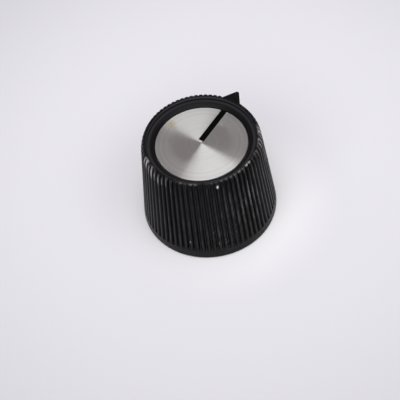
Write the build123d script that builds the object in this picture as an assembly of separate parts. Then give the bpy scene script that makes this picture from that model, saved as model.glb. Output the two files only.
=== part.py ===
from build123d import *
import math
import os

# Amplifier control knob: a fluted, tapered moulding with a pointer fin, a spun aluminium inlay sunk
# in its top, and a moulded-in brass bush whose set screw grips a quarter-inch shaft.
# Millimetres and degrees, +Z up. The origin is on the shaft axis in the base plane, the pointer
# lies along +Y and the set screw along -X.

# Outer form of the moulding. The side leans back by its draft, the end of the shoulder by its angle
base_diameter = 25.4
height = 19.36
side_draft = 6.05
shoulder_radius = 3.6
shoulder_end_angle = 32
base_edge_radius = 0.4

# Flutes of the side, shallower where they end at the rim, and the plain band at their foot
flute_count = 72
flute_depth = 0.48
flute_rim_depth = 0.2
flute_flank_angle = 30
valley_width = 0.16
crest_chamfer = 0.06
band_height = 1.9
runout_angle = 45

# Pointer fin, an upright wedge with a blunt tip
pointer_setback = 0.1
pointer_angle = 68
pointer_drop = 0.3
pointer_tip_width = 0.45
pointer_tip_round = 0.12

# Stepped top, measured inwards and downwards from the rim
rim_width = 0.49
rim_chamfer = 0.12
rim_wall_draft = 4
ledge_drop = 0.86
ledge_crown = 0.12
ledge_width = 0.93
bevel_width = 0.44
inlay_drop = 1.34

# Inlay disc and the line filled into it, a little beside the pointer
inlay_thickness = 0.8
inlay_clearance = 0.05
inlay_edge_round = 0.1
line_width = 1.12
line_offset = 0.38
line_start = 0.45
line_groove_depth = 0.25
line_fill_depth = 0.2

# Brass bush round the shaft
shaft_diameter = 6.35
shaft_clearance = 0.025
bush_diameter = 10.0
bush_cover = 2.72
bush_chamfer = 0.4
bush_groove_depth = 0.5
bush_groove_width = 1.6
bush_groove_below_top = 1.4

# Hollow underside of the moulding, with room for the shaft's nut below the boss
skirt_wall = 2.3
cavity_draft = 8
nut_room = 4.5
crown_thickness = 3.4
boss_wall = 1.5
rib_thickness = 1.2
screw_web_wall = 1.4

# Set screw, backed off from the bore, and the passage it is reached through
screw_diameter = 4.0
screw_length = 5.0
screw_fit = 0.04
screw_backed_off = 0.3
screw_point_length = 0.6
screw_point_share = 0.6
screw_slot_width = 0.8
screw_slot_depth = 1.0
screw_passage_clearance = 0.2
screw_above_boss_foot = 3.6

# How far cuts run past the faces they cross
overrun = 1.0

# Values that follow from the sizes above
base_radius = base_diameter / 2
draft_slope = math.tan(math.radians(side_draft))
ledge_z = height - ledge_drop
inlay_top_z = height - inlay_drop
inlay_seat_z = inlay_top_z - inlay_thickness
cavity_roof_z = inlay_seat_z - crown_thickness
bush_radius = bush_diameter / 2
bush_top_z = inlay_seat_z - bush_cover
bore_radius = shaft_diameter / 2 + shaft_clearance
boss_radius = bush_radius + boss_wall
screw_radius = screw_diameter / 2
screw_z = nut_room + screw_above_boss_foot
screw_passage_radius = screw_radius + screw_passage_clearance


def side_radius(z):
    """Radius of the drafted side at a height."""
    return base_radius - z * draft_slope


# Centre of the shoulder's arc, from the rim down and from the side inwards
shoulder_centre_z = height - shoulder_radius * math.sin(math.radians(shoulder_end_angle))
shoulder_foot_z = shoulder_centre_z + shoulder_radius * math.sin(math.radians(side_draft))
shoulder_reach = shoulder_radius * math.cos(math.radians(side_draft))
shoulder_centre_radius = side_radius(shoulder_foot_z) - shoulder_reach


def shoulder_point(lean):
    """Point of the shoulder's half section, as (radius, height), where it leans back by an angle."""
    angle = math.radians(lean)
    radius = shoulder_centre_radius + shoulder_radius * math.cos(angle)
    return radius, shoulder_centre_z + shoulder_radius * math.sin(angle)


# Radii of the stepped top, from the rim inwards
rim_radius = shoulder_point(shoulder_end_angle)[0]
rim_wall_slope = math.tan(math.radians(rim_wall_draft))
rim_inner_radius = rim_radius - rim_width
ledge_outer_radius = rim_inner_radius - (ledge_drop + ledge_crown) * rim_wall_slope
ledge_inner_radius = ledge_outer_radius - ledge_width
inlay_seat_radius = ledge_inner_radius - bevel_width
inlay_radius = inlay_seat_radius - inlay_clearance


def revolved(outline):
    """Solid of revolution about Z, from the closed outline of its half section as (radius, height)."""
    return revolve(make_face(Plane.XZ * outline), Axis.Z)


def turned(*corners):
    """Solid of revolution about Z, from the corners of its half section as (radius, height)."""
    return revolved(Polyline(*corners, close=True))


def rod_towards_screw(radius, start, end):
    """Round rod along -X at the height of the set screw, from one distance off the axis to another."""
    outwards = Plane((-start, 0, screw_z), x_dir=(0, 1, 0), z_dir=(-1, 0, 0))
    return extrude(outwards * Circle(radius), end - start)


def plain_form():
    """Outer form without the flutes: drafted side, round shoulder and the round edge of the foot."""
    foot = shoulder_point(side_draft)
    middle = shoulder_point((side_draft + shoulder_end_angle) / 2)
    rim = shoulder_point(shoulder_end_angle)
    outline = Polyline(rim, (0, height), (0, 0), (base_radius, 0), foot)
    form = revolved(outline + ThreePointArc(foot, middle, rim))
    foot_edge = form.edges().filter_by(GeomType.CIRCLE).sort_by(Axis.Z)[0]
    return fillet(foot_edge, base_edge_radius)


def groove_section():
    """Cross section of a flute, up from the middle of its valley: flanks and chamfered crest edges."""
    flank_height = flute_depth - crest_chamfer
    half_valley = valley_width / 2
    half_groove = half_valley + flank_height * math.tan(math.radians(flute_flank_angle))
    half_mouth = half_groove + crest_chamfer
    right_side = [
        (half_valley, 0),
        (half_groove, flank_height),
        (half_mouth, flute_depth),
        (half_mouth, flute_depth + overrun),
    ]
    left_side = [(-x, y) for x, y in reversed(right_side)]
    return make_face(Polyline(*right_side, *left_side, close=True))


def runout():
    """Foot of the moulding up to the slope on which the flutes run out, wider than the moulding."""
    slope = math.tan(math.radians(runout_angle))
    inner_radius = base_radius - 2 * flute_depth
    outer_radius = base_radius + 2 * overrun
    inner_rise = (side_radius(band_height) - inner_radius) / slope
    outer_fall = (outer_radius - side_radius(band_height)) / slope
    return turned(
        (inner_radius, -overrun),
        (outer_radius, -overrun),
        (outer_radius, band_height - outer_fall),
        (inner_radius, band_height + inner_rise),
    )


def flute():
    """Cutter of one flute, in the XZ plane: up the side and over the shoulder, out through the rim."""
    start = (side_radius(0) - flute_depth, 0)
    bend = (side_radius(shoulder_foot_z) - flute_depth, shoulder_foot_z)
    end = (rim_radius - flute_rim_depth, height)
    valley = Line(start, bend)
    over_shoulder = TangentArc(bend, end, tangent=valley % 1)
    way_out = Line(end, end + (over_shoulder % 1) * overrun)
    path = Plane.XZ * (valley + over_shoulder + way_out)
    across = Plane((start[0], 0, 0), x_dir=(0, -1, 0), z_dir=path % 0)
    return sweep(across * groove_section(), path) - runout()


def pointer_fin():
    """Upright wedge whose blunt tip stands over the base circle, a little below the rim."""
    tip_y = base_radius - pointer_setback
    half_tip = pointer_tip_width / 2
    half_root = half_tip + (tip_y - rim_inner_radius) * math.tan(math.radians(pointer_angle / 2))
    corners = [
        (-half_root, rim_inner_radius),
        (-half_tip, tip_y),
        (half_tip, tip_y),
        (half_root, rim_inner_radius),
    ]
    wedge = make_face(Polyline(*corners, close=True))
    wedge = fillet(wedge.vertices().group_by(Axis.Y)[-1], pointer_tip_round)
    return extrude(Pos(0, 0, base_edge_radius) * wedge, height - pointer_drop - base_edge_radius)


def top_recess():
    """Space inside the rim: drafted rim wall, crowned ledge, bevel and the seat of the inlay."""
    ledge_start = (ledge_inner_radius, ledge_z - ledge_crown)
    ledge_middle = ((ledge_inner_radius + ledge_outer_radius) / 2, ledge_z)
    ledge_end = (ledge_outer_radius, ledge_z - ledge_crown)
    outline = Polyline(
        ledge_end,
        (rim_inner_radius - rim_chamfer * rim_wall_slope, height - rim_chamfer),
        (rim_inner_radius + rim_chamfer, height),
        (rim_inner_radius + rim_chamfer, height + overrun),
        (0, height + overrun),
        (0, inlay_seat_z),
        (inlay_seat_radius, inlay_seat_z),
        (inlay_seat_radius, inlay_top_z),
        ledge_start,
    )
    return revolved(outline + ThreePointArc(ledge_start, ledge_middle, ledge_end))


def underside_hollow():
    """Space under the crown, round the boss, less the ribs and the web of the set screw."""
    mouth_radius = base_radius - skirt_wall
    hollow = turned(
        (0, -overrun),
        (mouth_radius, -overrun),
        (mouth_radius, 0),
        (mouth_radius - cavity_roof_z * math.tan(math.radians(cavity_draft)), cavity_roof_z),
        (boss_radius, cavity_roof_z),
        (boss_radius, nut_room),
        (0, nut_room),
    )
    rib_height = cavity_roof_z + overrun - nut_room
    web_width = 2 * (screw_passage_radius + screw_web_wall)
    across = (Align.CENTER, Align.CENTER, Align.MIN)
    cross_rib = Box(rib_thickness, base_diameter, rib_height, align=across)
    side_rib = Box(base_radius, rib_thickness, rib_height, align=(Align.MIN, Align.CENTER, Align.MIN))
    screw_web = Box(base_radius, web_width, rib_height, align=(Align.MAX, Align.CENTER, Align.MIN))
    return hollow - Pos(0, 0, nut_room) * (cross_rib + side_rib + screw_web)


def bush_blank():
    """Outer form of the bush, with the groove that keys it into the moulding."""
    groove_top_z = bush_top_z - bush_groove_below_top
    groove_foot_z = groove_top_z - bush_groove_width
    groove_radius = bush_radius - bush_groove_depth
    return turned(
        (0, nut_room),
        (bush_radius, nut_room),
        (bush_radius, groove_foot_z),
        (groove_radius, groove_foot_z),
        (groove_radius, groove_top_z),
        (bush_radius, groove_top_z),
        (bush_radius, bush_top_z - bush_chamfer),
        (bush_radius - bush_chamfer, bush_top_z),
        (0, bush_top_z),
    )


def knob_body():
    """One moulding: fluted side, pointer, stepped top and hollow underside."""
    cutter = flute()
    flutes = [Rot(0, 0, i * 360 / flute_count) * cutter for i in range(flute_count)]
    outer = plain_form() - flutes + pointer_fin()
    passage = rod_towards_screw(screw_passage_radius, 0, base_radius + overrun)
    return outer - top_recess() - underside_hollow() - bush_blank() - passage


def shaft_bush():
    """Turned brass bush, with a chamfered shaft bore and the cross hole of the set screw."""
    bore = turned(
        (0, nut_room - overrun),
        (bore_radius + bush_chamfer, nut_room - overrun),
        (bore_radius + bush_chamfer, nut_room),
        (bore_radius, nut_room + bush_chamfer),
        (bore_radius, bush_top_z + overrun),
        (0, bush_top_z + overrun),
    )
    return bush_blank() - bore - rod_towards_screw(screw_radius + screw_fit, 0, bush_radius + overrun)


def set_screw():
    """Slotted grub screw with a flat dog point, its tip clear of the bore."""
    tip = bore_radius + screw_backed_off
    head = tip + screw_length
    neck = tip + screw_point_length
    shank = rod_towards_screw(screw_radius, neck, head)
    point = rod_towards_screw(screw_radius * screw_point_share, tip, neck)
    slot = Pos(-head, 0, screw_z) * Box(2 * screw_slot_depth, 2 * screw_diameter, screw_slot_width)
    return shank + point - slot


def inlay_blank():
    """Plain disc in its seat, with a rounded upper edge."""
    disc = extrude(Pos(0, 0, inlay_seat_z) * Circle(inlay_radius), inlay_thickness)
    return fillet(disc.edges().sort_by(Axis.Z)[-1], inlay_edge_round)


def line_bar(foot_z, top_z):
    """Bar along the indicator line, between two heights, that runs out past the edge of the disc."""
    reach = inlay_radius + overrun - line_start
    bar = Box(line_width, reach, top_z - foot_z, align=(Align.CENTER, Align.MIN, Align.MIN))
    return Pos(-line_offset, line_start, foot_z) * bar


def inlay_disc():
    """Aluminium disc with the groove of the indicator line cut in its face."""
    return inlay_blank() - line_bar(inlay_top_z - line_groove_depth, inlay_top_z + overrun)


def indicator_line():
    """Black filler on the floor of the groove, a little below the face of the disc."""
    groove_foot_z = inlay_top_z - line_groove_depth
    return inlay_blank() & line_bar(groove_foot_z, groove_foot_z + line_fill_depth)


pieces = {
    "knob_body": knob_body(),
    "shaft_bush": shaft_bush(),
    "set_screw": set_screw(),
    "inlay_disc": inlay_disc(),
    "indicator_line": indicator_line(),
}

os.makedirs("parts", exist_ok=True)
for name, piece in pieces.items():
    export_step(piece, f"parts/{name}.step")
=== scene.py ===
"""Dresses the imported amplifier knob: finishes, a threaded set screw, and the studio of the photograph."""

import logging
import math
from dataclasses import dataclass, field
from enum import Enum

import bpy
from mathutils import Matrix, Quaternion, Vector


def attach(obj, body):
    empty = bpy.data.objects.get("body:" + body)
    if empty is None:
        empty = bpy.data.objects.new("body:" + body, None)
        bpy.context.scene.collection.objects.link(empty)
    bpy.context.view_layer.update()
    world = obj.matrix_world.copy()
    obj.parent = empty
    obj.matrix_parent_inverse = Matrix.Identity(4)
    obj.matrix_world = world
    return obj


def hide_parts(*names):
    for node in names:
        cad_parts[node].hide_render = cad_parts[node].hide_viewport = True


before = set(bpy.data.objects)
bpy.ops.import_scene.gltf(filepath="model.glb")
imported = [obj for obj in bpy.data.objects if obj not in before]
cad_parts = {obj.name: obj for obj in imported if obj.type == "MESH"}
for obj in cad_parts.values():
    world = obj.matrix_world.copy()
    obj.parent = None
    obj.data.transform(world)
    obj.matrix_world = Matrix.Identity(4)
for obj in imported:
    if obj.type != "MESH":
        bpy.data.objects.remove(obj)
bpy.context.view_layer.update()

LOG = logging.getLogger("amplifier_knob")
MM = 0.001
IMAGE_SIDE = 400
BODY = "root"
# Middle of a noise texture's colours
NOISE_MIDDLE = (0.5, 0.5, 0.5)
# Share of Z in the normal of a face that counts as level
LEVEL_FACE = 0.99


class Slot(Enum):
    """Material slots of the record; no piece here takes its finish from them."""

    STEEL = "screw_steel"


class Node(Enum):
    """CAD nodes of the knob."""

    MOULDING = "knob_body"
    BUSH = "shaft_bush"
    SCREW = "set_screw"
    INLAY = "inlay_disc"
    LINE = "indicator_line"


class Shaping(Enum):
    """Ways in which one solid shapes another."""

    JOIN = "UNION"
    CUT = "DIFFERENCE"


def linear(colour: str) -> tuple[float, float, float, float]:
    """Turn an sRGB hex colour into linear light, by the sRGB curve.

    Args:
        colour: Six hex digits after a hash sign.

    Returns:
        Linear red, green and blue, and an alpha of one.
    """
    channels = [int(colour[i:i + 2], 16) / 255 for i in (1, 3, 5)]
    red, green, blue = (c / 12.92 if c <= 0.04045 else ((c + 0.055) / 1.055) ** 2.4 for c in channels)
    return red, green, blue, 1.0


def add_node(
    tree: bpy.types.NodeTree, kind: str, inputs: dict[str | int, object] | None = None,
    **settings: str | float | bool,
) -> bpy.types.Node:
    """Add one node, with its settings and what goes into its sockets.

    Args:
        tree: Node tree that gets the node.
        kind: Class name of the node.
        inputs: Socket name or number, with an output socket to link or a value to set.
        settings: Properties of the node itself.

    Returns:
        The new node.
    """
    node = tree.nodes.new(kind)
    for name, value in settings.items():
        setattr(node, name, value)
    for key, value in (inputs or {}).items():
        if isinstance(value, bpy.types.NodeSocket):
            tree.links.new(value, node.inputs[key])
        else:
            node.inputs[key].default_value = value
    return node


@dataclass(frozen=True)
class Mark:
    """A worn or stained place: its centre in millimetres, its reach and its strength."""

    centre: tuple[float, float, float]
    reach: float
    strength: float = 1.0


@dataclass(frozen=True)
class Finish:
    """A material of the knob or its studio, named for what it is made of, with sizes in millimetres."""

    name: str

    def material(self) -> bpy.types.Material:
        """Make the material, with one principled shader that paint() dresses.

        Returns:
            The new material.
        """
        material = bpy.data.materials.new(self.name)
        material.use_nodes = True
        tree = material.node_tree
        tree.nodes.clear()
        shader = add_node(tree, "ShaderNodeBsdfPrincipled")
        add_node(tree, "ShaderNodeOutputMaterial", {"Surface": shader.outputs[0]})
        place = add_node(tree, "ShaderNodeTexCoord")
        millimetres = add_node(
            tree, "ShaderNodeVectorMath", {0: place.outputs["Object"], "Scale": 1 / MM}, operation="SCALE"
        )
        self.paint(tree, shader, millimetres.outputs[0])
        return material

    def paint(self, tree: bpy.types.NodeTree, shader: bpy.types.Node, place: bpy.types.NodeSocket) -> None:
        """Set and link the shader's sockets.

        Args:
            tree: Node tree of the material.
            shader: Its principled shader.
            place: Object coordinates in millimetres.
        """
        raise NotImplementedError

    @staticmethod
    def marked(
        tree: bpy.types.NodeTree, place: bpy.types.NodeSocket, marks: tuple[Mark, ...]
    ) -> bpy.types.NodeSocket:
        """Mask the surface round some marks.

        Args:
            tree: Node tree of the material.
            place: Object coordinates in millimetres.
            marks: The marks, the strongest of which holds at a point.

        Returns:
            Socket with the strength of the marks at each point.
        """
        total: bpy.types.NodeSocket | float = 0.0
        for mark in marks:
            away = add_node(tree, "ShaderNodeVectorMath", {0: place, 1: mark.centre}, operation="DISTANCE")
            spot = add_node(
                tree, "ShaderNodeMapRange",
                {
                    "Value": away.outputs["Value"],
                    "From Min": mark.reach, "From Max": 0.0, "To Max": mark.strength,
                },
                interpolation_type="SMOOTHSTEP",
            )
            strongest = add_node(
                tree, "ShaderNodeMath", {0: spot.outputs[0], 1: total}, operation="MAXIMUM"
            )
            total = strongest.outputs[0]
        return total


@dataclass(frozen=True)
class BlackPhenolic(Finish):
    """Compression-moulded black phenolic: deep black, half gloss, dulled grey where fingers rub it."""

    # To the eye: black with a soft sheen, pale on the rubbed shoulder, with painted highlights on the ring,
    # the rim's edges and the left of the shoulder
    body: str = "#070708"
    body_pale: str = "#131315"
    dust: str = "#0c0c0e"
    film: str = "#0d0d0f"
    # Painted highlight: a lighter stripe on the ring's outer part, by the foot of the rim's wall
    ledge_highlight: str = "#38383e"
    grime: str = "#29292d"
    # Painted highlight along the rim's inner edge
    inner_edge_highlight: str = "#48484c"
    scuff: str = "#434346"
    # Pale of the rubbed wear, which on the left of the shoulder is a painted highlight
    pale_wear_and_highlight: str = "#c4c2c2"
    lint: str = "#6f6e6c"
    # White of the chips, and of the painted glint along the rim's outer edge
    chip_and_glint_white: str = "#f2f0ec"
    roughness: float = 0.38
    scuffed_roughness: float = 0.5
    specular: float = 0.13
    base_radius: float = 12.7
    side_taper: float = 0.10598
    band_top: float = 2.4
    band_fade: float = 2.0
    shoulder_foot: float = 17.832
    shoulder_centre: float = 17.452
    shoulder_radius: float = 3.6
    valley_depth: float = 0.5
    crest_wear_depth: float = 0.12
    rim_radius: float = 10.28
    rim_inside: float = 9.8
    rim_height: float = 19.36
    rim_wear_reach: float = 0.4
    corner_start: float = 9.1
    corner_end: float = 9.45
    wall_foot: float = 18.55
    wall_fade: float = 0.15
    glint_line_reach: float = 0.3
    inner_edge_drop: float = 0.3
    inner_edge_reach: float = 0.3
    streak_width: float = 0.9
    streak_length: float = 5.0
    streak_detail: float = 4.0
    streak_roughness: float = 0.65
    wear_start: float = 0.5
    rubbed_start: float = -0.1
    wear_full: float = 0.75
    # The filler's grain is finer than this, and is drawn coarse enough to show
    grain: float = 0.16
    grain_height: float = 0.004
    grain_detail: float = 3.0
    lint_size: float = 0.3
    lint_detail: float = 2.0
    lint_start: float = 0.6
    lint_full: float = 0.72
    cloud_size: float = 2.5
    cloud_detail: float = 3.0
    cloud_start: float = 0.35
    cloud_full: float = 0.65
    rubbed: tuple[Mark, ...] = (
        # These four marks on the left of the shoulder paint its highlight as pale rubbed crests; the rest are
        # rubbed wear
        Mark((-5.8, -8.9, 18.7), 1.9),
        Mark((-4.1, -9.9, 18.15), 2.0),
        Mark((-2.3, -10.5, 17.95), 1.9, 0.8),
        Mark((-0.8, -10.6, 18.2), 1.6, 0.3),
        Mark((8.1, -5.9, 19.5), 1.8, 0.1),
        Mark((10.0, -3.0, 18.8), 2.0, 0.2),
        Mark((10.0, 1.8, 19.0), 2.0, 0.35),
        Mark((9.6, 4.5, 18.6), 2.2, 0.7),
        Mark((8.4, 6.5, 18.6), 2.4),
        Mark((9.2, 6.0, 15.5), 5.0, 0.4),
        Mark((10.9, -2.5, 12.0), 8.0, 0.25),
    )
    grimed: tuple[Mark, ...] = (
        Mark((2.4, -9.9, 19.2), 2.4, 0.8),
        Mark((4.6, -9.1, 19.3), 2.4),
        Mark((6.4, -7.9, 19.3), 2.4),
        Mark((7.9, -6.4, 19.3), 2.2, 0.7),
        Mark((5.6, -9.4, 13.0), 9.0, 0.5),
    )
    # Painted highlight: where the glint along the rim's outer edge shows, and how bright
    painted_rim_glint: tuple[Mark, ...] = (
        Mark((2.3, -10.0, 19.3), 1.4, 0.12),
        Mark((4.2, -9.3, 19.3), 1.6, 0.18),
        Mark((7.0, -7.4, 19.3), 1.8, 0.06),
        Mark((8.4, -6.0, 19.3), 1.8, 0.1),
        Mark((9.3, -4.6, 19.3), 1.8, 0.1),
        Mark((9.9, -3.0, 19.3), 1.6, 0.16),
        Mark((10.2, -1.0, 19.3), 1.1, 0.6),
    )
    dusted: tuple[Mark, ...] = (
        Mark((9.2, -7.9, 6.0), 6.5, 0.8),
        Mark((10.6, -4.5, 12.0), 5.0, 0.5),
    )
    chips: tuple[Mark, ...] = (
        Mark((7.98, -7.12, 18.4), 0.5),
        Mark((3.48, -11.73, 4.38), 0.26, 0.8),
        Mark((7.78, -9.35, 5.02), 0.24, 0.6),
        Mark((8.07, -9.28, 3.83), 0.28, 0.7),
    )

    def below_crests(
        self, tree: bpy.types.NodeTree, height: bpy.types.NodeSocket, radius: bpy.types.NodeSocket
    ) -> bpy.types.NodeSocket:
        """Measure the depth below the line of the crests: the drafted side, then the arc of the shoulder.

        Args:
            tree: Node tree of the material.
            height: Height above the base.
            radius: Distance from the shaft axis.

        Returns:
            Socket with the depth in millimetres.
        """
        inset = math.sqrt(self.shoulder_radius ** 2 - (self.shoulder_foot - self.shoulder_centre) ** 2)
        on_side = add_node(tree, "ShaderNodeMath", {0: height, 1: self.shoulder_foot}, operation="MINIMUM")
        side = add_node(
            tree, "ShaderNodeMath",
            {0: on_side.outputs[0], 1: -self.side_taper, 2: self.base_radius - inset},
            operation="MULTIPLY_ADD",
        )
        on_arc = add_node(tree, "ShaderNodeMath", {0: height, 1: self.shoulder_foot}, operation="MAXIMUM")
        rise = add_node(
            tree, "ShaderNodeMath", {0: on_arc.outputs[0], 1: self.shoulder_centre}, operation="SUBTRACT"
        )
        squared = add_node(
            tree, "ShaderNodeMath", {0: rise.outputs[0], 1: rise.outputs[0]}, operation="MULTIPLY"
        )
        left = add_node(
            tree, "ShaderNodeMath", {0: self.shoulder_radius ** 2, 1: squared.outputs[0]},
            operation="SUBTRACT",
        )
        reach = add_node(tree, "ShaderNodeMath", {0: left.outputs[0]}, operation="SQRT")
        crest = add_node(tree, "ShaderNodeMath", {0: side.outputs[0], 1: reach.outputs[0]}, operation="ADD")
        depth = add_node(tree, "ShaderNodeMath", {0: crest.outputs[0], 1: radius}, operation="SUBTRACT")
        return depth.outputs[0]

    @staticmethod
    def off_edge(
        tree: bpy.types.NodeTree, height: bpy.types.NodeSocket, radius: bpy.types.NodeSocket,
        edge: tuple[float, float],
    ) -> bpy.types.NodeSocket:
        """Measure the distance from an edge that runs round the axis, in the half section.

        Args:
            tree: Node tree of the material.
            height: Height above the base.
            radius: Distance from the shaft axis.
            edge: Radius and height of the edge.

        Returns:
            Socket with the distance in millimetres.
        """
        out = add_node(tree, "ShaderNodeMath", {0: radius, 1: edge[0]}, operation="SUBTRACT")
        above = add_node(tree, "ShaderNodeMath", {0: height, 1: edge[1]}, operation="SUBTRACT")
        apart = add_node(tree, "ShaderNodeCombineXYZ", {0: out.outputs[0], 1: above.outputs[0]})
        gap = add_node(tree, "ShaderNodeVectorMath", {0: apart.outputs[0]}, operation="LENGTH")
        return gap.outputs["Value"]

    def high_places(
        self, tree: bpy.types.NodeTree, height: bpy.types.NodeSocket, depth: bpy.types.NodeSocket,
        edge_gap: bpy.types.NodeSocket,
    ) -> bpy.types.NodeSocket:
        """Mask what fingers touch: the crests above the foot band, and the rim's edge.

        Args:
            tree: Node tree of the material.
            height: Height above the base.
            depth: Depth below the line of the crests.
            edge_gap: Distance from the rim's edge.

        Returns:
            Socket with the mask.
        """
        # The fin stands outside the line of the crests, so only what is near the line counts
        off_crest = add_node(tree, "ShaderNodeMath", {0: depth}, operation="ABSOLUTE")
        on_crest = add_node(
            tree, "ShaderNodeMapRange",
            {"Value": off_crest.outputs[0], "From Min": self.crest_wear_depth, "From Max": 0.0},
            interpolation_type="SMOOTHSTEP",
        )
        on_edge = add_node(
            tree, "ShaderNodeMapRange",
            {"Value": edge_gap, "From Min": self.rim_wear_reach, "From Max": 0.0},
            interpolation_type="SMOOTHSTEP",
        )
        off_band = add_node(
            tree, "ShaderNodeMapRange",
            {"Value": height, "From Min": self.band_top, "From Max": self.band_top + self.band_fade},
            interpolation_type="SMOOTHSTEP",
        )
        fingered = add_node(
            tree, "ShaderNodeMath", {0: on_crest.outputs[0], 1: off_band.outputs[0]}, operation="MULTIPLY"
        )
        high = add_node(
            tree, "ShaderNodeMath", {0: fingered.outputs[0], 1: on_edge.outputs[0]}, operation="MAXIMUM"
        )
        return high.outputs[0]

    def worn(
        self, tree: bpy.types.NodeTree, place: bpy.types.NodeSocket, rubbed: bpy.types.NodeSocket
    ) -> bpy.types.NodeSocket:
        """Streak the wear along the flutes, and close it up at the rubbed marks, which on the left of the
        shoulder paint its highlight as pale crests.

        Args:
            tree: Node tree of the material.
            place: Object coordinates in millimetres.
            rubbed: Strength of the rubbed marks.

        Returns:
            Socket with the amount of wear.
        """
        stretch = (1 / self.streak_width, 1 / self.streak_width, 1 / self.streak_length)
        along = add_node(tree, "ShaderNodeVectorMath", {0: place, 1: stretch}, operation="MULTIPLY")
        streaks = add_node(
            tree, "ShaderNodeTexNoise",
            {
                "Vector": along.outputs[0], "Scale": 1.0,
                "Detail": self.streak_detail, "Roughness": self.streak_roughness,
            },
        )
        start = add_node(
            tree, "ShaderNodeMapRange",
            {"Value": rubbed, "To Min": self.wear_start, "To Max": self.rubbed_start},
        )
        worn = add_node(
            tree, "ShaderNodeMapRange",
            {"Value": streaks.outputs["Fac"], "From Min": start.outputs[0], "From Max": self.wear_full},
            interpolation_type="SMOOTHSTEP",
        )
        return worn.outputs[0]

    def settled_with_highlight(
        self, tree: bpy.types.NodeTree, height: bpy.types.NodeSocket, radius: bpy.types.NodeSocket
    ) -> bpy.types.NodeSocket:
        """Colour the low places: dust in the flutes, and a film on the ring inside the rim, with a painted
        highlight stripe on the ring's outer part.

        Args:
            tree: Node tree of the material.
            height: Height above the base.
            radius: Distance from the shaft axis.

        Returns:
            Socket with the colour.
        """
        # Painted highlight: a lighter stripe on the ring's outer part and at the foot of the rim's wall
        in_corner = add_node(
            tree, "ShaderNodeMapRange",
            {"Value": radius, "From Min": self.corner_start, "From Max": self.corner_end},
        )
        under_wall = add_node(
            tree, "ShaderNodeMapRange",
            {"Value": height, "From Min": self.wall_foot + self.wall_fade, "From Max": self.wall_foot},
        )
        on_ledge_highlight = add_node(
            tree, "ShaderNodeMath", {0: in_corner.outputs[0], 1: under_wall.outputs[0]}, operation="MULTIPLY"
        )
        # The ring's film, with the painted highlight stripe laid over it
        wiped = add_node(
            tree, "ShaderNodeMix",
            {"Factor": on_ledge_highlight.outputs[0], "A": linear(self.film), "B": linear(self.ledge_highlight)}, data_type="RGBA",
        )
        in_ring = add_node(tree, "ShaderNodeMath", {0: radius, 1: self.rim_inside}, operation="LESS_THAN")
        settled_with_highlight = add_node(
            tree, "ShaderNodeMix",
            {"Factor": in_ring.outputs[0], "A": linear(self.dust), "B": wiped.outputs["Result"]},
            data_type="RGBA",
        )
        return settled_with_highlight.outputs["Result"]

    def paint(self, tree: bpy.types.NodeTree, shader: bpy.types.Node, place: bpy.types.NodeSocket) -> None:
        """Cloud the black, lay dust, wear, lint and chips over it, paint highlights on the ring, the rim's
        edges and the left of the shoulder, and add the moulded grain.

        Args:
            tree: Node tree of the material.
            shader: Its principled shader.
            place: Object coordinates in millimetres.
        """
        axes = add_node(tree, "ShaderNodeSeparateXYZ", {0: place})
        height = axes.outputs["Z"]
        flat = add_node(tree, "ShaderNodeVectorMath", {0: place, 1: (1, 1, 0)}, operation="MULTIPLY")
        length = add_node(tree, "ShaderNodeVectorMath", {0: flat.outputs[0]}, operation="LENGTH")
        radius = length.outputs["Value"]
        depth = self.below_crests(tree, height, radius)
        in_valley = add_node(
            tree, "ShaderNodeMapRange", {"Value": depth, "From Min": 0.0, "From Max": self.valley_depth}
        )
        edge_gap = self.off_edge(tree, height, radius, (self.rim_radius, self.rim_height))
        rubbed = self.marked(tree, place, self.rubbed)
        scuffs = add_node(
            tree, "ShaderNodeMath",
            {0: self.high_places(tree, height, depth, edge_gap), 1: self.worn(tree, place, rubbed)},
            operation="MULTIPLY",
        )
        clouds = add_node(
            tree, "ShaderNodeTexNoise",
            {"Vector": place, "Scale": 1 / self.cloud_size, "Detail": self.cloud_detail},
        )
        cloudy = add_node(
            tree, "ShaderNodeMapRange",
            {"Value": clouds.outputs["Fac"], "From Min": self.cloud_start, "From Max": self.cloud_full},
        )
        # Grime fills the flutes and hides their wear
        grimed = self.marked(tree, place, self.grimed)
        filled = add_node(tree, "ShaderNodeMath", {0: in_valley.outputs[0], 1: grimed}, operation="MULTIPLY")
        clean = add_node(tree, "ShaderNodeMath", {0: 1.0, 1: grimed}, operation="SUBTRACT")
        shown = add_node(
            tree, "ShaderNodeMath", {0: scuffs.outputs[0], 1: clean.outputs[0]}, operation="MULTIPLY"
        )
        # Pale rubbed wear, which on the left of the shoulder is a painted highlight
        wear_and_highlight_pale = add_node(
            tree, "ShaderNodeMix", {"Factor": rubbed, "A": linear(self.scuff), "B": linear(self.pale_wear_and_highlight)},
            data_type="RGBA",
        )
        # Painted highlight all round the rim's inner edge
        inner_line = (self.rim_inside, self.rim_height - self.inner_edge_drop)
        inner_highlight_band = add_node(
            tree, "ShaderNodeMapRange",
            {
                "Value": self.off_edge(tree, height, radius, inner_line),
                "From Min": self.inner_edge_reach, "From Max": 0.0,
            },
            interpolation_type="SMOOTHSTEP",
        )
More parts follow.
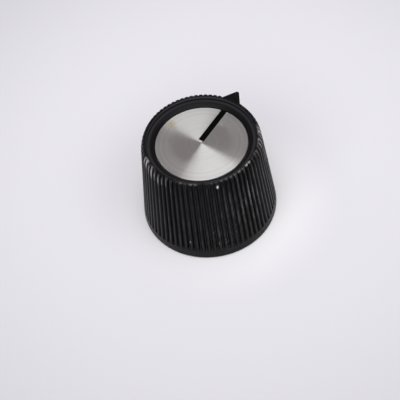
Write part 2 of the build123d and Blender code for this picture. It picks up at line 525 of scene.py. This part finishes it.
        # Painted highlight: a thin glint along the rim's outer edge, brightest at its right-hand end
        on_line = add_node(
            tree, "ShaderNodeMapRange", {"Value": edge_gap, "From Min": self.glint_line_reach, "From Max": 0.0}
        )
        rim_glint = add_node(
            tree, "ShaderNodeMath", {0: on_line.outputs[0], 1: self.marked(tree, place, self.painted_rim_glint)},
            operation="MULTIPLY",
        )
        flecks = add_node(
            tree, "ShaderNodeTexNoise",
            {"Vector": place, "Scale": 1 / self.lint_size, "Detail": self.lint_detail},
        )
        fleck = add_node(
            tree, "ShaderNodeMapRange",
            {"Value": flecks.outputs["Fac"], "From Min": self.lint_start, "From Max": self.lint_full},
        )
        lint = add_node(
            tree, "ShaderNodeMath", {0: fleck.outputs[0], 1: self.marked(tree, place, self.dusted)},
            operation="MULTIPLY",
        )
        colour: bpy.types.NodeSocket | tuple = linear(self.body)
        layers = (
            (cloudy.outputs[0], linear(self.body_pale)),
            (in_valley.outputs[0], self.settled_with_highlight(tree, height, radius)),
            (filled.outputs[0], linear(self.grime)),
            (shown.outputs[0], wear_and_highlight_pale.outputs["Result"]),
            (inner_highlight_band.outputs[0], linear(self.inner_edge_highlight)),
            (rim_glint.outputs[0], linear(self.chip_and_glint_white)),
            (lint.outputs[0], linear(self.lint)),
            (self.marked(tree, place, self.chips), linear(self.chip_and_glint_white)),
        )
        for amount, tone in layers:
            layer = add_node(
                tree, "ShaderNodeMix", {"Factor": amount, "A": colour, "B": tone}, data_type="RGBA"
            )
            colour = layer.outputs["Result"]
        tree.links.new(colour, shader.inputs["Base Color"])
        gloss = add_node(
            tree, "ShaderNodeMapRange",
            {"Value": scuffs.outputs[0], "To Min": self.roughness, "To Max": self.scuffed_roughness},
        )
        tree.links.new(gloss.outputs[0], shader.inputs["Roughness"])
        grain = add_node(
            tree, "ShaderNodeTexNoise",
            {"Vector": place, "Scale": 1 / self.grain, "Detail": self.grain_detail},
        )
        bump = add_node(
            tree, "ShaderNodeBump",
            {"Height": grain.outputs["Fac"], "Strength": 1.0, "Distance": self.grain_height * MM},
        )
        tree.links.new(bump.outputs[0], shader.inputs["Normal"])
        shader.inputs["Specular IOR Level"].default_value = self.specular


@dataclass(frozen=True)
class SpunAluminium(Finish):
    """Spun aluminium: fine turning rings throw the light out in bright and dark fans round the centre."""

    # To the eye: silver fans that meet at the centre, with faint rings and a duller, handled edge
    bright: str = "#e4e4e4"
    dull: str = "#c0c0c0"
    stained: str = "#bdb183"
    roughness: float = 0.32
    anisotropy: float = 1.0
    # Real turning marks lie closer than this: they are drawn coarse, with broader ones that show from afar
    ring_pitch: float = 0.12
    ring_slope: float = 0.25
    ring_detail: float = 3.0
    ring_roughness: float = 0.6
    broad_pitch: float = 0.5
    broad_detail: float = 2.0
    broad_share: float = 0.5
    dome: float = 0.03
    # Scratches stay finer than a pixel, since they only scatter light into the dark fans
    haze_grain: float = 0.03
    haze_detail: float = 3.0
    haze_gate: float = 0.6
    haze_slope: float = 0.3
    edge_haze_slope: float = 4.0
    edge_start: float = 4.5
    edge_end: float = 8.3
    stains: tuple[Mark, ...] = (
        Mark((-7.2, 1.1, 18.02), 1.3, 0.7),
        Mark((-8.1, 1.2, 18.02), 0.8, 0.5),
        Mark((-6.2, 0.8, 18.02), 0.8, 0.35),
    )

    def scratch_tilt(
        self, tree: bpy.types.NodeTree, place: bpy.types.NodeSocket, radius: bpy.types.NodeSocket
    ) -> bpy.types.NodeSocket:
        """Tilt the face every way where handling has scratched it, most of all near its edge.

        Args:
            tree: Node tree of the material.
            place: Object coordinates in millimetres.
            radius: Distance from the shaft axis.

        Returns:
            Socket with what the scratches add to the normal.
        """
        scratches = add_node(
            tree, "ShaderNodeTexNoise",
            {"Vector": place, "Scale": 1 / self.haze_grain, "Detail": self.haze_detail},
        )
        level = add_node(
            tree, "ShaderNodeVectorMath", {0: scratches.outputs["Color"], 1: NOISE_MIDDLE},
            operation="SUBTRACT",
        )
        handled = add_node(
            tree, "ShaderNodeMapRange",
            {
                "Value": radius, "From Min": self.edge_start, "From Max": self.edge_end,
                "To Min": self.haze_slope, "To Max": self.edge_haze_slope,
            },
        )
        scratched = add_node(
            tree, "ShaderNodeMath", {0: scratches.outputs["Fac"], 1: self.haze_gate}, operation="GREATER_THAN"
        )
        amount = add_node(
            tree, "ShaderNodeMath", {0: handled.outputs[0], 1: scratched.outputs[0]}, operation="MULTIPLY"
        )
        haze = add_node(
            tree, "ShaderNodeVectorMath", {0: level.outputs[0], "Scale": amount.outputs[0]}, operation="SCALE"
        )
        return haze.outputs[0]

    def paint(self, tree: bpy.types.NodeTree, shader: bpy.types.Node, place: bpy.types.NodeSocket) -> None:
        """Turn the rings about the shaft axis, and tilt the face in and out across them.

        Args:
            tree: Node tree of the material.
            shader: Its principled shader.
            place: Object coordinates in millimetres.
        """
        flat = add_node(tree, "ShaderNodeVectorMath", {0: place, 1: (1, 1, 0)}, operation="MULTIPLY")
        length = add_node(tree, "ShaderNodeVectorMath", {0: flat.outputs[0]}, operation="LENGTH")
        radius = length.outputs["Value"]
        turns = add_node(tree, "ShaderNodeMath", {0: radius, 1: 1 / self.ring_pitch}, operation="MULTIPLY")
        rings = add_node(
            tree, "ShaderNodeTexNoise",
            {
                "W": turns.outputs[0], "Scale": 1.0,
                "Detail": self.ring_detail, "Roughness": self.ring_roughness,
            },
            noise_dimensions="1D",
        )
        passes = add_node(tree, "ShaderNodeMath", {0: radius, 1: 1 / self.broad_pitch}, operation="MULTIPLY")
        broad = add_node(
            tree, "ShaderNodeTexNoise", {"W": passes.outputs[0], "Scale": 1.0, "Detail": self.broad_detail},
            noise_dimensions="1D",
        )
        both = add_node(
            tree, "ShaderNodeMix",
            {"Factor": self.broad_share, "A": rings.outputs["Fac"], "B": broad.outputs["Fac"]},
            data_type="FLOAT",
        )
        turned = add_node(
            tree, "ShaderNodeMix",
            {"Factor": both.outputs["Result"], "A": linear(self.bright), "B": linear(self.dull)},
            data_type="RGBA",
        )
        colour = add_node(
            tree, "ShaderNodeMix",
            {
                "Factor": self.marked(tree, place, self.stains),
                "A": turned.outputs["Result"], "B": linear(self.stained),
            },
            data_type="RGBA",
        )
        tree.links.new(colour.outputs["Result"], shader.inputs["Base Color"])
        slope = add_node(
            tree, "ShaderNodeMapRange",
            {
                "Value": rings.outputs["Fac"],
                "To Min": self.dome - self.ring_slope, "To Max": self.dome + self.ring_slope,
            },
            clamp=False,
        )
        outwards = add_node(tree, "ShaderNodeVectorMath", {0: flat.outputs[0]}, operation="NORMALIZE")
        tilt = add_node(
            tree, "ShaderNodeVectorMath", {0: outwards.outputs[0], "Scale": slope.outputs[0]},
            operation="SCALE",
        )
        face = add_node(tree, "ShaderNodeNewGeometry")
        tilted = add_node(tree, "ShaderNodeVectorMath", {0: face.outputs["Normal"], 1: tilt.outputs[0]})
        hazed = add_node(
            tree, "ShaderNodeVectorMath", {0: tilted.outputs[0], 1: self.scratch_tilt(tree, place, radius)}
        )
        normal = add_node(tree, "ShaderNodeVectorMath", {0: hazed.outputs[0]}, operation="NORMALIZE")
        tree.links.new(normal.outputs[0], shader.inputs["Normal"])
        tree.links.new(flat.outputs[0], shader.inputs["Tangent"])
        shader.inputs["Metallic"].default_value = 1.0
        shader.inputs["Roughness"].default_value = self.roughness
        shader.inputs["Anisotropic"].default_value = self.anisotropy


@dataclass(frozen=True)
class FillerPaint(Finish):
    """Black filler paint wiped into the groove: dead matt, with a faint dusty film."""

    # To the eye: the blackest part of the knob, with no shine
    body: str = "#040404"
    film: str = "#0c0b0b"
    roughness: float = 0.7
    specular: float = 0.03
    speck: float = 0.25
    speck_detail: float = 3.0

    def paint(self, tree: bpy.types.NodeTree, shader: bpy.types.Node, place: bpy.types.NodeSocket) -> None:
        """Cloud the black with a thin film.

        Args:
            tree: Node tree of the material.
            shader: Its principled shader.
            place: Object coordinates in millimetres.
        """
        cloud = add_node(
            tree, "ShaderNodeTexNoise",
            {"Vector": place, "Scale": 1 / self.speck, "Detail": self.speck_detail},
        )
        colour = add_node(
            tree, "ShaderNodeMix",
            {"Factor": cloud.outputs["Fac"], "A": linear(self.body), "B": linear(self.film)},
            data_type="RGBA",
        )
        tree.links.new(colour.outputs["Result"], shader.inputs["Base Color"])
        shader.inputs["Roughness"].default_value = self.roughness
        shader.inputs["Specular IOR Level"].default_value = self.specular


@dataclass(frozen=True)
class TurnedBrass(Finish):
    """Free-cutting brass as turned: warm yellow, with fine tool rings and a dull film of age."""

    # To the eye: a warm, broken shine, browner in patches
    bright: str = "#d9b56a"
    tarnish: str = "#8f6a35"
    roughness: float = 0.34
    # The tool's feed is finer than this, and is drawn coarse enough to show
    ring_pitch: float = 0.14
    ring_height: float = 0.002
    tarnish_patch: float = 2.5
    tarnish_detail: float = 4.0

    def paint(self, tree: bpy.types.NodeTree, shader: bpy.types.Node, place: bpy.types.NodeSocket) -> None:
        """Lay tool rings up the bush and tarnish over them in patches.

        Args:
            tree: Node tree of the material.
            shader: Its principled shader.
            place: Object coordinates in millimetres.
        """
        patches = add_node(
            tree, "ShaderNodeTexNoise",
            {"Vector": place, "Scale": 1 / self.tarnish_patch, "Detail": self.tarnish_detail},
        )
        colour = add_node(
            tree, "ShaderNodeMix",
            {"Factor": patches.outputs["Fac"], "A": linear(self.bright), "B": linear(self.tarnish)},
            data_type="RGBA",
        )
        tree.links.new(colour.outputs["Result"], shader.inputs["Base Color"])
        axes = add_node(tree, "ShaderNodeSeparateXYZ", {0: place})
        turns = add_node(
            tree, "ShaderNodeMath", {0: axes.outputs["Z"], 1: 1 / self.ring_pitch}, operation="MULTIPLY"
        )
        rings = add_node(
            tree, "ShaderNodeTexNoise", {"W": turns.outputs[0], "Scale": 1.0}, noise_dimensions="1D"
        )
        bump = add_node(
            tree, "ShaderNodeBump",
            {"Height": rings.outputs["Fac"], "Strength": 1.0, "Distance": self.ring_height * MM},
        )
        tree.links.new(bump.outputs[0], shader.inputs["Normal"])
        shader.inputs["Metallic"].default_value = 1.0
        shader.inputs["Roughness"].default_value = self.roughness


@dataclass(frozen=True)
class DulledSteel(Finish):
    """Plain cut steel gone dull with age: mid grey, brighter where the driver has rubbed it."""

    # To the eye: a cool, patchy grey that barely shines
    skin: str = "#8f8d89"
    rubbed: str = "#bcb9b5"
    roughness: float = 0.42
    patch: float = 0.7
    patch_detail: float = 4.0

    def paint(self, tree: bpy.types.NodeTree, shader: bpy.types.Node, place: bpy.types.NodeSocket) -> None:
        """Rub the dull skin through in patches.

        Args:
            tree: Node tree of the material.
            shader: Its principled shader.
            place: Object coordinates in millimetres.
        """
        patches = add_node(
            tree, "ShaderNodeTexNoise",
            {"Vector": place, "Scale": 1 / self.patch, "Detail": self.patch_detail},
        )
        colour = add_node(
            tree, "ShaderNodeMix",
            {"Factor": patches.outputs["Fac"], "A": linear(self.skin), "B": linear(self.rubbed)},
            data_type="RGBA",
        )
        tree.links.new(colour.outputs["Result"], shader.inputs["Base Color"])
        shader.inputs["Metallic"].default_value = 1.0
        shader.inputs["Roughness"].default_value = self.roughness


@dataclass(frozen=True)
class PalePaper(Finish):
    """Uncoated pale paper under the knob: cool white, with painted light round the knob and painted falloff
    away from it.
    """

    # To the eye: a ground with no shine, lighter round the knob as painted light that lifts the shade at its
    # foot, and darker further out as painted falloff
    near: str = "#fafbff"
    away: str = "#ecedf4"
    far: str = "#cfd1d7"
    near_radius: float = 12.0
    away_radius: float = 24.0
    far_radius: float = 95.0
    near_centre: tuple[float, float, float] = (1.5, 1.2, 0.0)
    falloff_centre: tuple[float, float, float] = (-6.0, 14.0, 0.0)
    roughness: float = 0.9
    specular: float = 0.1

    def paint(self, tree: bpy.types.NodeTree, shader: bpy.types.Node, place: bpy.types.NodeSocket) -> None:
        """Paint a pool of light round the knob, and falloff outwards from it, into the paper's colour.

        Args:
            tree: Node tree of the material.
            shader: Its principled shader.
            place: Object coordinates in millimetres.
        """
        colour: bpy.types.NodeSocket | tuple = linear(self.near)
        painted_light_grades = (
            (self.near_centre, self.near_radius, self.away_radius, self.away),
            (self.falloff_centre, self.away_radius, self.far_radius, self.far),
        )
        for centre, inner, outer, tone in painted_light_grades:
            reach = add_node(tree, "ShaderNodeVectorMath", {0: place, 1: centre}, operation="DISTANCE")
            grade = add_node(
                tree, "ShaderNodeMapRange",
                {"Value": reach.outputs["Value"], "From Min": inner, "From Max": outer},
                interpolation_type="SMOOTHSTEP",
            )
            blend = add_node(
                tree, "ShaderNodeMix", {"Factor": grade.outputs[0], "A": colour, "B": linear(tone)},
                data_type="RGBA",
            )
            colour = blend.outputs["Result"]
        tree.links.new(colour, shader.inputs["Base Color"])
        shader.inputs["Roughness"].default_value = self.roughness
        shader.inputs["Specular IOR Level"].default_value = self.specular


def dress(piece: bpy.types.Object, finish: Finish) -> None:
    """Give a piece its finish.

    Args:
        piece: The piece, with at least one material slot.
        finish: What it is made of.
    """
    for place in piece.material_slots:
        place.material = finish.material()
    LOG.info("%s dressed in %s", piece.name, finish.name)


@dataclass
class Moulding:
    """The black moulding, as the CAD has it."""

    finish: BlackPhenolic = field(default_factory=lambda: BlackPhenolic("moulded_black_phenolic"))

    def dress(self) -> None:
        """Dress the CAD node."""
        dress(bpy.data.objects[Node.MOULDING.value], self.finish)


@dataclass
class Inlay:
    """The aluminium disc in the top, with its black line."""

    metal: SpunAluminium = field(default_factory=lambda: SpunAluminium("spun_aluminium"))
    filler: FillerPaint = field(default_factory=lambda: FillerPaint("black_filler_paint"))

    def dress(self) -> None:
        """Dress both CAD nodes."""
        dress(bpy.data.objects[Node.INLAY.value], self.metal)
        dress(bpy.data.objects[Node.LINE.value], self.filler)


@dataclass
class ShaftGrip:
    """The brass bush and the slotted grub screw that holds the shaft, with sizes in millimetres."""

    height: float = 8.1
    tip: float = 3.5
    neck: float = 4.1
    head: float = 8.5
    root_radius: float = 1.62
    crest_radius: float = 1.99
    point_radius: float = 1.2
    pitch: float = 0.7
    flank: float = 0.27
    crest_land: float = 0.09
    root_sink: float = 0.05
    turns: int = 5
    steps: int = 48
    head_chamfer: float = 0.15
    point_chamfer: float = 0.12
    slot_width: float = 0.8
    slot_depth: float = 1.0
    slot_length: float = 6.0
    smooth_angle: float = 30.0
    brass: TurnedBrass = field(default_factory=lambda: TurnedBrass("turned_brass"))
    steel: DulledSteel = field(default_factory=lambda: DulledSteel("dulled_steel"))

    def thread(self) -> bpy.types.Object:
        """Wind the thread's closed profile up the Z axis, with its root a little inside the core.

        Returns:
            The thread, in the middle of the shank.
        """
        inside = self.root_radius - self.root_sink
        width = 2 * self.flank + self.crest_land
        first = self.neck + (self.head - self.neck - self.turns * self.pitch - width) / 2
        profile = (
            (inside, first),
            (self.crest_radius, first + self.flank),
            (self.crest_radius, first + self.flank + self.crest_land),
            (inside, first + width),
        )
        bpy.ops.object.select_all(action="DESELECT")
        bpy.ops.mesh.primitive_circle_add(
            vertices=len(profile), radius=self.crest_radius * MM, fill_type="NOTHING"
        )
        thread = bpy.context.object
        # Half a step round, so that the thread's edges don't run along the core's
        turn = math.pi / self.steps
        for vertex, (radius, rise) in zip(thread.data.vertices, profile):
            vertex.co = Vector((radius * math.cos(turn), radius * math.sin(turn), rise)) * MM
        winding = thread.modifiers.new("winding", "SCREW")
        winding.axis = "Z"
        winding.screw_offset = self.pitch * MM
        winding.iterations = self.turns
        winding.steps = self.steps
        winding.render_steps = self.steps
        bpy.ops.object.modifier_apply(modifier=winding.name)
        bpy.ops.object.mode_set(mode="EDIT")
        bpy.ops.mesh.select_all(action="SELECT")
        bpy.ops.mesh.fill_holes(sides=len(profile))
        bpy.ops.mesh.select_all(action="SELECT")
        bpy.ops.mesh.normals_make_consistent(inside=False)
        bpy.ops.object.mode_set(mode="OBJECT")
        return thread

    def core(self) -> bpy.types.Object:
        """Turn the core about the Z axis: a shank at the thread's root, a chamfered head and a dog point.

        Returns:
            The core, with its tip at the height that the tip has along the hole.
        """
        shank = self.head - self.neck
        bpy.ops.object.select_all(action="DESELECT")
        bpy.ops.mesh.primitive_cylinder_add(
            vertices=self.steps, radius=self.root_radius * MM, depth=shank * MM,
            location=(0.0, 0.0, (self.neck + shank / 2) * MM),
        )
        core = bpy.context.object
        core.name = "grub_screw"
        bpy.ops.object.transform_apply(location=True, rotation=True, scale=True)
        self.pick_end(core, upper=True)
        bpy.ops.mesh.bevel(offset=self.head_chamfer * MM, segments=1, affect="EDGES")
        self.pick_end(core, upper=False)
        bpy.ops.mesh.inset(thickness=(self.root_radius - self.point_radius) * MM)
        drop = (self.tip - self.neck) * MM
        bpy.ops.mesh.extrude_region_move(TRANSFORM_OT_translate={"value": (0.0, 0.0, drop)})
        bpy.ops.mesh.bevel(offset=self.point_chamfer * MM, segments=1, affect="EDGES")
        bpy.ops.object.mode_set(mode="OBJECT")
        return core

    @staticmethod
    def pick_end(piece: bpy.types.Object, upper: bool) -> None:
        """Select the flat end face of an upright piece, and stay in edit mode.

        Args:
            piece: The active piece.
            upper: Whether its upper end is meant.
        """
        bpy.ops.object.mode_set(mode="EDIT")
        bpy.ops.mesh.select_mode(type="FACE")
        bpy.ops.mesh.select_all(action="DESELECT")
        bpy.ops.object.mode_set(mode="OBJECT")
        ends = [face for face in piece.data.polygons if abs(face.normal.z) > LEVEL_FACE]
        end = max(ends, key=lambda face: face.center.z if upper else -face.center.z)
        end.select = True
        bpy.ops.object.mode_set(mode="EDIT")

    def slot_cutter(self) -> bpy.types.Object:
        """Make the bar that cuts the driver slot, half of it above the head of the upright screw.

        Returns:
            The cutting bar.
        """
        bpy.ops.object.select_all(action="DESELECT")
        bpy.ops.mesh.primitive_cube_add(size=MM, location=(0.0, 0.0, self.head * MM))
        bar = bpy.context.object
        bar.scale = (self.slot_width, self.slot_length, 2 * self.slot_depth)
        bpy.ops.object.transform_apply(location=True, rotation=True, scale=True)
        return bar

    @staticmethod
    def shape(piece: bpy.types.Object, tool: bpy.types.Object, way: Shaping) -> None:
        """Shape a piece with another solid, and take that solid away.

        Args:
            piece: The piece that is kept.
            tool: The other solid.
            way: Whether it is joined on or cut out.
        """
        bpy.ops.object.select_all(action="DESELECT")
        bpy.context.view_layer.objects.active = piece
        piece.select_set(True)
        shaping = piece.modifiers.new("shaping", "BOOLEAN")
        shaping.operation = way.value
        shaping.solver = "EXACT"
        shaping.object = tool
        bpy.ops.object.modifier_apply(modifier=shaping.name)
        bpy.data.objects.remove(tool)

    def build(self) -> bpy.types.Object:
        """Model the grub screw in place of its plain CAD node.

        Returns:
            The threaded screw.
        """
        screw = self.core()
        self.shape(screw, self.thread(), Shaping.JOIN)
        self.shape(screw, self.slot_cutter(), Shaping.CUT)
        # Lay the upright screw along -X, its tip towards the shaft
        screw.rotation_euler = (0.0, math.radians(-90), 0.0)
        screw.location = Vector((0.0, 0.0, self.height)) * MM
        bpy.ops.object.transform_apply(location=True, rotation=True, scale=True)
        bpy.ops.object.shade_smooth_by_angle(angle=math.radians(self.smooth_angle))
        screw.data.materials.clear()
        screw.data.materials.append(None)
        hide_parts(Node.SCREW.value)
        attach(screw, BODY)
        LOG.info("%s modelled with %d faces", screw.name, len(screw.data.polygons))
        return screw

    def dress(self, screw: bpy.types.Object) -> None:
        """Dress the bush and the screw.

        Args:
            screw: The threaded screw.
        """
        dress(bpy.data.objects[Node.BUSH.value], self.brass)
        dress(screw, self.steel)


@dataclass(frozen=True)
class SoftLight:
    """A level soft light, placed in millimetres to the right of, in front of and above the knob."""

    name: str
    width: float
    depth: float
    power: float
    right: float
    front: float
    up: float
    turn: float
    colour: str

    def hang(self, azimuth: float) -> None:
        """Hang the light.

        Args:
            azimuth: Angle of the camera round the knob, in degrees.
        """
        lamp = bpy.data.lights.new(self.name, "AREA")
        lamp.shape = "RECTANGLE"
        lamp.size = self.width * MM
        lamp.size_y = self.depth * MM
        lamp.energy = self.power
        lamp.color = linear(self.colour)[:3]
        panel = bpy.data.objects.new(self.name, lamp)
        bpy.context.scene.collection.objects.link(panel)
        about_axis = Matrix.Rotation(math.radians(azimuth), 4, "Z")
        panel.location = about_axis @ (Vector((self.right, -self.front, self.up)) * MM)
        panel.rotation_euler = (0.0, 0.0, math.radians(azimuth + self.turn))
        LOG.info("%s hung", self.name)


@dataclass
class Studio:
    """Paper, soft light and the camera of the photograph, in millimetres and degrees."""

    paper_side: float = 4000.0
    azimuth: float = 39.0
    elevation: float = 52.23
    distance: float = 185.0
    orbit_height: float = 8.0
    aim: tuple[float, float, float] = (1.738, -4.968, 8.0)
    roll: float = -9.186
    focal_pixels: float = 1000.0
    sensor: float = 36.0
    clip: float = 0.001
    sky_level: float = 0.32
    sky: str = "#fff4f4"
    paper: PalePaper = field(default_factory=lambda: PalePaper("uncoated_pale_paper"))
    panel: SoftLight = SoftLight(
        name="overhead_panel", width=4000.0, depth=6000.0, power=127.0,
        right=-350.0, front=2094.0, up=2400.0, turn=-46.0, colour="#ffffff",
    )

    def lay_paper(self) -> None:
        """Lay the paper that the knob stands on."""
        bpy.ops.object.select_all(action="DESELECT")
        bpy.ops.mesh.primitive_plane_add(size=self.paper_side * MM)
        floor = bpy.context.object
        floor.name = "paper_floor"
        floor.data.materials.append(self.paper.material())

    def light_world(self) -> None:
        """Give the room its even grey."""
        world = bpy.data.worlds.new("grey_room")
        bpy.context.scene.world = world
        world.use_nodes = True
        background = world.node_tree.nodes["Background"]
        background.inputs["Color"].default_value = linear(self.sky)
        background.inputs["Strength"].default_value = self.sky_level

    def set_camera(self) -> None:
        """Stand the camera where the photograph was taken from."""
        azimuth = math.radians(self.azimuth)
        elevation = math.radians(self.elevation)
        outwards = Vector((
            math.sin(azimuth) * math.cos(elevation),
            -math.cos(azimuth) * math.cos(elevation),
            math.sin(elevation),
        ))
        place = Vector((0, 0, self.orbit_height)) + outwards * self.distance
        camera = bpy.data.cameras.new("camera")
        camera.sensor_width = self.sensor
        camera.lens = self.focal_pixels / IMAGE_SIDE * self.sensor
        camera.clip_start = self.clip
        eye = bpy.data.objects.new("camera", camera)
        bpy.context.scene.collection.objects.link(eye)
        eye.location = place * MM
        eye.rotation_mode = "QUATERNION"
        level = (Vector(self.aim) - place).to_track_quat("-Z", "Y")
        eye.rotation_quaternion = level @ Quaternion((0, 0, 1), math.radians(self.roll))
        bpy.context.scene.camera = eye

    def build(self) -> None:
        """Set up the whole studio."""
        self.lay_paper()
        self.light_world()
        self.panel.hang(self.azimuth)
        self.set_camera()
        bpy.context.scene.view_settings.view_transform = "Standard"
        LOG.info("studio ready")


def main() -> None:
    """Dress the knob and build the studio round it."""
    logging.basicConfig(level=logging.INFO, format="%(name)s: %(message)s")
    Moulding().dress()
    Inlay().dress()
    grip = ShaftGrip()
    grip.dress(grip.build())
    Studio().build()


if __name__ == "__main__":
    main()
